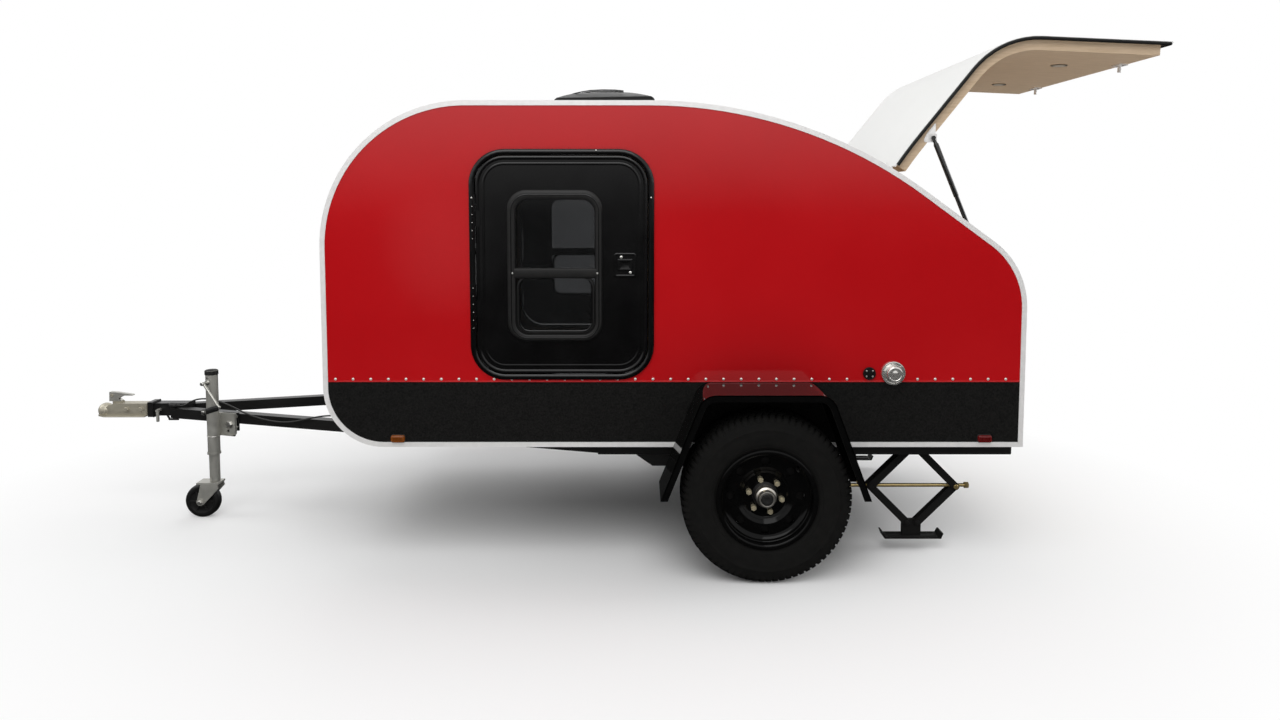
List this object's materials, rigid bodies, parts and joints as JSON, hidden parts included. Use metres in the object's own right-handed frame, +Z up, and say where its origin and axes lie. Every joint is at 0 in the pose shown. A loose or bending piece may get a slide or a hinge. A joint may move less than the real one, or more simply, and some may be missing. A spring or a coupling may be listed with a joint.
{
  "type": "teardrop camping trailer",
  "caption": "Teardrop camping trailer with side doors, an open rear galley hatch, flat-topped fenders, A-frame tongue, caster jack and scissor stabilisers.",
  "frame": {"origin": "middle of the whole trailer with its hatch open, on the ground", "axes": "+X forward to the coupler, +Y to the trailer's left, +Z up"},
  "size_m": [5.0184, 2.048, 2.2529],
  "materials": {
    "red_panel": "gloss red sheet over a plywood core",
    "black_band": "textured black sheet over a plywood core",
    "bright_trim": "satin",
    "white_skin": "gloss white",
    "white_roof": "gloss white sheet over a plywood core",
    "plywood": "clear varnish",
    "black_door": "gloss",
    "tinted_glass": "tinted",
    "black_steel": "gloss black paint",
    "zinc": "zinc plated",
    "yellow_zinc": "yellow passivated",
    "tyre": "matte",
    "caster": "matte",
    "strut_black": "gloss black paint",
    "strut_rod": "black nitrided",
    "vent_black": "satin",
    "bright_cap": "polished",
    "amber": "clear amber",
    "red_lens": "clear red",
    "cable": "matte"
  },
  "bodies": {
    "trailer": {"side_panels": "red_panel", "side_bands": "black_band", "edge_trims": "bright_trim", "roof_shell": "white_roof", "floor_deck": "plywood", "bulkhead": "plywood", "galley_shelves": "plywood", "door_frames": "black_door", "hatch_hinge": "bright_trim", "fenders": "black_steel", "chassis_frame": "black_steel", "torsion_axle": "black_steel", "coupler": "zinc", "coupler_fittings": "zinc", "jack_bracket": "zinc", "vent_base": "vent_black", "amber_markers": "amber", "red_lamps": "red_lens", "power_inlet": "vent_black", "water_inlet": "bright_cap", "harness_cable": "cable", "harness_plug": "cable"},
    "wheel_left": {"tyre_left": "tyre", "rim_left": "black_steel", "hub_left": "zinc"},
    "wheel_right": {"tyre_right": "tyre", "rim_right": "black_steel", "hub_right": "zinc"},
    "hatch": {"hatch_skin": "white_skin", "hatch_frame": "plywood", "hatch_latches": "zinc", "hatch_studs": "zinc"},
    "strut_tubes": {"strut_tubes": "strut_black"},
    "strut_rods": {"strut_rods": "strut_rod"},
    "door_left": {"door_leaf_left": "black_door", "door_glass_left": "tinted_glass", "door_latch_left": "black_door"},
    "door_right": {"door_leaf_right": "black_door", "door_glass_right": "tinted_glass", "door_latch_right": "black_door"},
    "jack_swing": {"jack_tube": "zinc", "jack_crank": "zinc"},
    "jack_leg": {"jack_leg": "zinc"},
    "caster_fork": {"caster_fork": "zinc"},
    "caster_wheel": {"caster_wheel": "caster"},
    "vent_lid": {"vent_lid": "vent_black"},
    "stab_upper_front_left": {"stab_upper_front_left": "black_steel"},
    "stab_upper_rear_left": {"stab_upper_rear_left": "black_steel"},
    "stab_lower_front_left": {"stab_lower_front_left": "black_steel"},
    "stab_lower_rear_left": {"stab_lower_rear_left": "black_steel"},
    "stab_foot_left": {"stab_foot_left": "black_steel"},
    "stab_screw_left": {"stab_screw_left": "yellow_zinc"},
    "stab_upper_front_right": {"stab_upper_front_right": "black_steel"},
    "stab_upper_rear_right": {"stab_upper_rear_right": "black_steel"},
    "stab_lower_front_right": {"stab_lower_front_right": "black_steel"},
    "stab_lower_rear_right": {"stab_lower_rear_right": "black_steel"},
    "stab_foot_right": {"stab_foot_right": "black_steel"},
    "stab_screw_right": {"stab_screw_right": "yellow_zinc"}
  },
  "joints": [
    {"name": "wheel_left_spin", "type": "hinge", "parent": "trailer", "child": "wheel_left", "pos_m": [-0.78983, 0.894, 0.35], "axis": [0, 1, 0], "continuous": true},
    {"name": "wheel_right_spin", "type": "hinge", "parent": "trailer", "child": "wheel_right", "pos_m": [-0.78983, -0.894, 0.35], "axis": [0, 1, 0], "continuous": true},
    {"name": "hatch_hinge", "type": "hinge", "parent": "trailer", "child": "hatch", "pos_m": [-1.33836, 0, 1.70276], "axis": [0, 1, 0], "range_deg": [-87.5, 0]},
    {"name": "strut_pivot", "type": "hinge", "parent": "trailer", "child": "strut_tubes", "pos_m": [-1.71652, 0, 1.34878], "axis": [0, 1, 0], "range_deg": [0, 30.41]},
    {"name": "strut_slide", "type": "slide", "parent": "strut_tubes", "child": "strut_rods", "axis": [0.388, 0, 0.9217], "range_m": [-0.21386, 0]},
    {"name": "door_left_hinge", "type": "hinge", "parent": "trailer", "child": "door_left", "pos_m": [0.42317, 0.776, 1.3], "axis": [0, 0, -1], "range_deg": [0, 160]},
    {"name": "door_right_hinge", "type": "hinge", "parent": "trailer", "child": "door_right", "pos_m": [0.42317, -0.776, 1.3], "axis": [0, 0, 1], "range_deg": [0, 160]},
    {"name": "jack_swing", "type": "hinge", "parent": "trailer", "child": "jack_swing", "pos_m": [1.75, 0.17044, 0.46], "axis": [-0.2732, -0.962, 0], "range_deg": [-90, 0]},
    {"name": "jack_leg_slide", "type": "slide", "parent": "jack_swing", "child": "jack_leg", "axis": [0, 0, -1], "range_m": [-0.11, 0]},
    {"name": "caster_swivel", "type": "hinge", "parent": "jack_leg", "child": "caster_fork", "pos_m": [1.83018, 0.19653, 0.12], "axis": [0, 0, 1], "continuous": true},
    {"name": "caster_spin", "type": "hinge", "parent": "caster_fork", "child": "caster_wheel", "pos_m": [1.89018, 0.19653, 0.0825], "axis": [0, 1, 0], "continuous": true},
    {"name": "vent_lid_hinge", "type": "hinge", "parent": "trailer", "child": "vent_lid", "pos_m": [0.14117, 0, 1.998], "axis": [0, 1, 0], "range_deg": [0, 40]},
    {"name": "stab_left", "type": "hinge", "parent": "trailer", "child": "stab_upper_rear_left", "pos_m": [-1.51683, 0.6, 0.455], "axis": [0, -1, 0], "range_deg": [-33, 9.5]},
    {"name": "stab_upper_front_left", "type": "hinge", "parent": "trailer", "child": "stab_upper_front_left", "pos_m": [-1.46883, 0.6, 0.455], "axis": [0, 1, 0], "range_deg": [-33, 9.5]},
    {"name": "stab_lower_rear_left", "type": "hinge", "parent": "stab_upper_rear_left", "child": "stab_lower_rear_left", "pos_m": [-1.683, 0.6, 0.28883], "axis": [0, 1, 0], "range_deg": [-66, 19]},
    {"name": "stab_lower_front_left", "type": "hinge", "parent": "stab_upper_front_left", "child": "stab_lower_front_left", "pos_m": [-1.30266, 0.6, 0.28883], "axis": [0, -1, 0], "range_deg": [-66, 19]},
    {"name": "stab_foot_left", "type": "hinge", "parent": "stab_lower_rear_left", "child": "stab_foot_left", "pos_m": [-1.51683, 0.6, 0.12266], "axis": [0, -1, 0], "range_deg": [-33, 9.5]},
    {"name": "stab_screw_left", "type": "hinge", "parent": "stab_upper_rear_left", "child": "stab_screw_left", "pos_m": [-1.683, 0.6, 0.28883], "axis": [0, 1, 0], "range_deg": [-33, 9.5]},
    {"name": "stab_right", "type": "hinge", "parent": "trailer", "child": "stab_upper_rear_right", "pos_m": [-1.51683, -0.6, 0.455], "axis": [0, -1, 0], "range_deg": [-33, 9.5]},
    {"name": "stab_upper_front_right", "type": "hinge", "parent": "trailer", "child": "stab_upper_front_right", "pos_m": [-1.46883, -0.6, 0.455], "axis": [0, 1, 0], "range_deg": [-33, 9.5]},
    {"name": "stab_lower_rear_right", "type": "hinge", "parent": "stab_upper_rear_right", "child": "stab_lower_rear_right", "pos_m": [-1.683, -0.6, 0.28883], "axis": [0, 1, 0], "range_deg": [-66, 19]},
    {"name": "stab_lower_front_right", "type": "hinge", "parent": "stab_upper_front_right", "child": "stab_lower_front_right", "pos_m": [-1.30266, -0.6, 0.28883], "axis": [0, -1, 0], "range_deg": [-66, 19]},
    {"name": "stab_foot_right", "type": "hinge", "parent": "stab_lower_rear_right", "child": "stab_foot_right", "pos_m": [-1.51683, -0.6, 0.12266], "axis": [0, -1, 0], "range_deg": [-33, 9.5]},
    {"name": "stab_screw_right", "type": "hinge", "parent": "stab_upper_rear_right", "child": "stab_screw_right", "pos_m": [-1.683, -0.6, 0.28883], "axis": [0, 1, 0], "range_deg": [-33, 9.5]}
  ],
  "couplings": [
    {"joint": "strut_pivot", "follows": "hatch_hinge", "ratio": -0.34757},
    {"joint": "strut_slide", "follows": "hatch_hinge", "m_per_rad": 0.14004},
    {"joint": "stab_upper_front_left", "follows": "stab_left", "ratio": 1},
    {"joint": "stab_lower_rear_left", "follows": "stab_left", "ratio": 2},
    {"joint": "stab_lower_front_left", "follows": "stab_left", "ratio": 2},
    {"joint": "stab_foot_left", "follows": "stab_left", "ratio": 1},
    {"joint": "stab_screw_left", "follows": "stab_left", "ratio": 1},
    {"joint": "stab_upper_front_right", "follows": "stab_right", "ratio": 1},
    {"joint": "stab_lower_rear_right", "follows": "stab_right", "ratio": 2},
    {"joint": "stab_lower_front_right", "follows": "stab_right", "ratio": 2},
    {"joint": "stab_foot_right", "follows": "stab_right", "ratio": 1},
    {"joint": "stab_screw_right", "follows": "stab_right", "ratio": 1}
  ]
}
